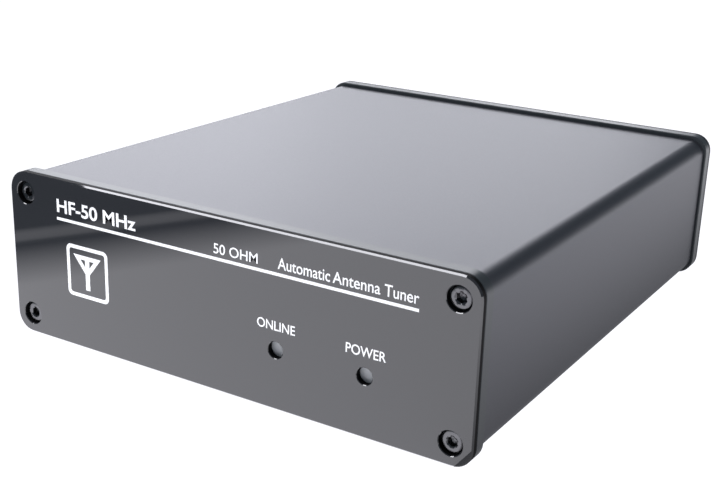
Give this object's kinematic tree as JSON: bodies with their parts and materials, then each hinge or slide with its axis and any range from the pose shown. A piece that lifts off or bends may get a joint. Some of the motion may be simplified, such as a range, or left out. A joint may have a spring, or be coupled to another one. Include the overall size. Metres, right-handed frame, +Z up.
{
  "type": "antenna tuner",
  "caption": "Automatic antenna tuner in a black aluminium tube case with framed end panels, indicator lights on the front and coaxial, supply, control and ground connections on the rear.",
  "frame": {"origin": "middle of the footprint, rear sockets included, on the surface that the tuner stands on", "axes": "+X to the right seen from the front, +Y from the front panel to the rear panel, +Z up"},
  "size_m": [0.182, 0.225, 0.059],
  "materials": {
    "front_panel": "polished black acrylic with chamfered, polished edges and white printing",
    "end_frame": "satin moulded",
    "case_tube": "blasted and black anodised",
    "rear_panel": "black anodised, satin",
    "black_steel": "black oxide",
    "nickel": "nickel plated, satin",
    "contact_brass": "plated",
    "copper_wire": "enamelled copper",
    "diffuser": "frosted",
    "clear_lamp": "clear moulded",
    "white_insulator": "machined",
    "black_plastic": "moulded",
    "circuit_board": "solder resist over glass-epoxy laminate",
    "relay_case": "moulded",
    "ring_core": "painted powdered-iron core",
    "ceramic_body": "dipped"
  },
  "bodies": {
    "tuner": {"front_panel": "front_panel", "front_frame": "end_frame", "case_tube": "case_tube", "rear_frame": "end_frame", "rear_panel": "rear_panel", "front_screw_upper_left": "black_steel", "rear_screw_upper_left": "black_steel", "front_screw_upper_right": "black_steel", "rear_screw_upper_right": "black_steel", "front_screw_lower_left": "black_steel", "rear_screw_lower_left": "black_steel", "front_screw_lower_right": "black_steel", "rear_screw_lower_right": "black_steel", "online_light_window": "diffuser", "online_led": "clear_lamp", "power_light_window": "diffuser", "power_led": "clear_lamp", "indicator_board": "circuit_board", "indicator_cable": "black_plastic", "antenna_socket_body": "nickel", "antenna_socket_insulator": "white_insulator", "antenna_socket_contact": "contact_brass", "antenna_lead": "copper_wire", "antenna_socket_screw_1": "nickel", "antenna_socket_screw_2": "nickel", "antenna_socket_screw_3": "nickel", "antenna_socket_screw_4": "nickel", "radio_socket_body": "nickel", "radio_socket_insulator": "white_insulator", "radio_socket_contact": "contact_brass", "radio_lead": "copper_wire", "radio_socket_screw_1": "nickel", "radio_socket_screw_2": "nickel", "radio_socket_screw_3": "nickel", "radio_socket_screw_4": "nickel", "supply_socket": "black_plastic", "supply_socket_pin": "nickel", "control_socket": "nickel", "ground_stud": "nickel", "ground_stud_nut": "nickel", "main_board": "circuit_board", "inductor_1": "ring_core", "inductor_relay_1": "relay_case", "capacitor_relay_1": "relay_case", "inductor_2": "ring_core", "inductor_relay_2": "relay_case", "capacitor_relay_2": "relay_case", "inductor_3": "ring_core", "inductor_relay_3": "relay_case", "capacitor_relay_3": "relay_case", "tuning_capacitor_1": "ceramic_body", "tuning_capacitor_2": "ceramic_body", "coupler_core": "ring_core", "microcontroller": "black_plastic", "filter_capacitor": "black_plastic"},
    "ground_washer": {"ground_washer": "nickel"},
    "ground_wing_nut": {"ground_wing_nut": "nickel"}
  },
  "joints": [
    {"name": "ground_nut_travel", "type": "slide", "parent": "tuner", "child": "ground_washer", "axis": [0, 1, 0], "range_m": [0, 0.00263]},
    {"name": "ground_nut_turn", "type": "hinge", "parent": "ground_washer", "child": "ground_wing_nut", "pos_m": [-0.01, 0.1035, 0.0295], "axis": [0, 1, 0], "range_deg": [0, 1350]}
  ],
  "couplings": [
    {"joint": "ground_nut_turn", "follows": "ground_nut_travel", "rad_per_m": 8976}
  ]
}
